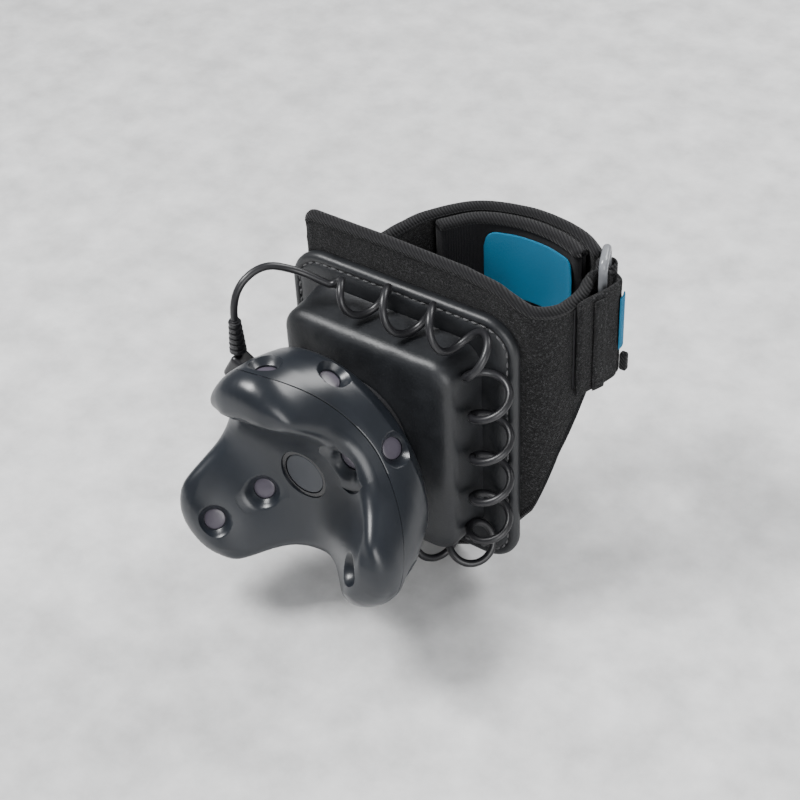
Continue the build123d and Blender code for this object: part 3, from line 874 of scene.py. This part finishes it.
LINER_LINE = [(-34.6, -5.6), (-25.0, 6.0), (-11.5, 10.9), (1.5, 10.9), (11.4, 8.1), (16.4, 5.2)]
liner_mesh = ribbon("padded_liner", LINER_LINE, 4.2, constant(BAND_LOW + 2), constant(BAND_HIGH - 2),
                    1.0, 0.06, 24, bulge=0.2)
liner = link("padded_liner", liner_mesh, "harness", "inner_liner", slot="liner_fabric",
             material=jersey_black)
edge_binding("liner_edge_top", LINER_LINE, 5.4, constant(BAND_HIGH - 1.6), 2.6, ("liner_binding",), 0.8)
edge_binding("liner_edge_bottom", LINER_LINE, 5.4, constant(BAND_LOW + 1.6), 2.6, (), 0.8, upward=False)
PATCH_LINE = [(-22.0, 4.4), (-10.6, 7.8), (0.9, 7.8), (9.8, 5.3), (13.6, 3.2)]


def patch_end(share):
    return 6.0 * (1 - math.sqrt(max(0.0, 1 - (1 - min(1.0, min(share, 1 - share) / 0.12)) ** 2)))


print_mesh = ribbon("grip_print", PATCH_LINE, 0.8, lambda s: -14 + patch_end(s),
                    lambda s: 12 - patch_end(s), 0.8, 0.0, 12)
link("grip_print", print_mesh, "harness", "grip_patch", slot="blue_print", material=print_blue)


# ---- buckle, fold and tail ----
FRONT_BAR = np.array([30.2, -5.5])
RUN, OUT = np.array([-0.39, 0.921]), np.array([0.921, 0.39])
REAR_BAR = FRONT_BAR + RUN * 11


def buckle_mesh():
    """A moulded rectangular ring of round bars."""
    centre = (FRONT_BAR + REAR_BAR) / 2
    line = rounded_outline(-5.5, 5.5, -23.5, 23.5, 2.6, 0.0, 160)
    verts, sides = [], 16
    for k, (u, z) in enumerate(line):
        before, after = line[k - 1], line[(k + 1) % len(line)]
        along = (after - before) / np.linalg.norm(after - before)
        out_u, out_z = along[1], -along[0]
        for n in range(sides):
            a = 2 * math.pi * n / sides
            flat, deep = 1.5 * math.cos(a), 1.5 * math.sin(a)
            place = centre + RUN * (u + flat * out_u) + OUT * deep
            verts.append((place[0], place[1], z + flat * out_z))
    mesh = mesh_from("buckle_ring", verts, grid_faces(len(line), sides, True, True), 60)
    fix_normals(mesh)
    return mesh


link("buckle_ring", buckle_mesh(), "buckle", "buckle_frame", slot="buckle_plastic", material=buckle_grey)


def arc(centre, radius, start_deg, sweep_deg, count=14):
    return [(centre[0] + radius * math.cos(math.radians(start_deg + sweep_deg * k / (count - 1))),
             centre[1] + radius * math.sin(math.radians(start_deg + sweep_deg * k / (count - 1))))
            for k in range(count)]


keeper_mesh = ribbon("loop_keeper", arc(REAR_BAR, 3.0, 130, 330, 24), 1.2, constant(-18), constant(17),
                     0.5, 0.0, 12)
link("loop_keeper", keeper_mesh, "harness", "buckle_loop", slot="binding_knit", material=knit_black)
fold_mesh = ribbon("webbing_fold", arc(FRONT_BAR, 5.05, 14.9, 188, 30), 2.5, constant(BAND_LOW),
                   constant(BAND_HIGH), 0.7, 0.10, 26, 2.0)
link("webbing_fold", fold_mesh, "harness", "wing_fold", slot="loop_fabric", material=pile_black)
TAIL_LINE = [(35.1, -4.3), (35.05, -6.0), (34.6, -8.4), (33.9, -11.0), (32.6, -14.5), (31.5, -18.0),
             (30.9, -22.0)]
tail_mesh = ribbon("webbing_tail", TAIL_LINE, 2.5, constant(BAND_LOW), constant(BAND_HIGH), 0.7, 0.12,
                   26, 3.0)
tail = link("webbing_tail", tail_mesh, None, "tail_root", "strap_tail", slot="loop_fabric",
            material=pile_black)
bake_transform(tail)
layer_mesh = ribbon("tail_layer", [(34.1, -17.1), (34.9, -14.7), (35.8, -12.5)], 1.5, constant(-19),
                    constant(17), 0.5, 0.08, 24, 4.0)
link("tail_layer", layer_mesh, "tail", "tail_end_layer", slot="loop_fabric", material=pile_black)
tag_mesh = ribbon("side_tag", [(37.1, -5.9), (37.0, -3.6), (36.2, -1.5)], 0.7, constant(-8), constant(13),
                  0.4, 0.0, 16)
link("side_tag", tag_mesh, "harness", "blank_tag", slot="blue_print", material=print_blue)
pull_mesh = rounded_box("pull_loop", np.array([1.3, 1.2, 3.5]), 0.7, 8, None, (37.6, -2.7, -14.5))
link("pull_loop", pull_mesh, "harness", "pull_tab", slot="binding_knit", material=knit_black)


# ---- floor and light ----
low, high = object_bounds()
floor_mesh = bpy.data.meshes.new("floor")
floor_mesh.from_pydata([(-4, -4, 0), (4, -4, 0), (4, 4, 0), (-4, 4, 0)], [], [(0, 1, 2, 3)])
floor = bpy.data.objects.new("floor", floor_mesh)
floor.location.z = low.z - 0.0002
bpy.context.scene.collection.objects.link(floor)
floor_mesh.materials.append(plastic("floor_pale", (0.62, 0.62, 0.62), 0.8, grain=0.05))


def area_light(name, place, target, size, power, tint=(1, 1, 1)):
    light = bpy.data.lights.new(name, "AREA")
    light.size, light.energy, light.color = size, power, tint
    lamp = bpy.data.objects.new(name, light)
    lamp.location = place
    lamp.rotation_euler = (Vector(target) - Vector(place)).to_track_quat("-Z", "Y").to_euler()
    bpy.context.scene.collection.objects.link(lamp)


area_light("key", (-0.45, -0.35, 0.85), (-0.02, -0.05, -0.03), 0.35, 17)
area_light("fill", (0.75, -0.6, 0.35), (0, -0.05, 0), 0.6, 8)
area_light("rim", (0.25, 0.75, 0.6), (0, 0, 0), 0.5, 10)
world = bpy.data.worlds.new("studio")
world.use_nodes = True
world.node_tree.nodes["Background"].inputs["Color"].default_value = (0.8, 0.82, 0.85, 1)
world.node_tree.nodes["Background"].inputs["Strength"].default_value = 0.35
bpy.context.scene.world = world
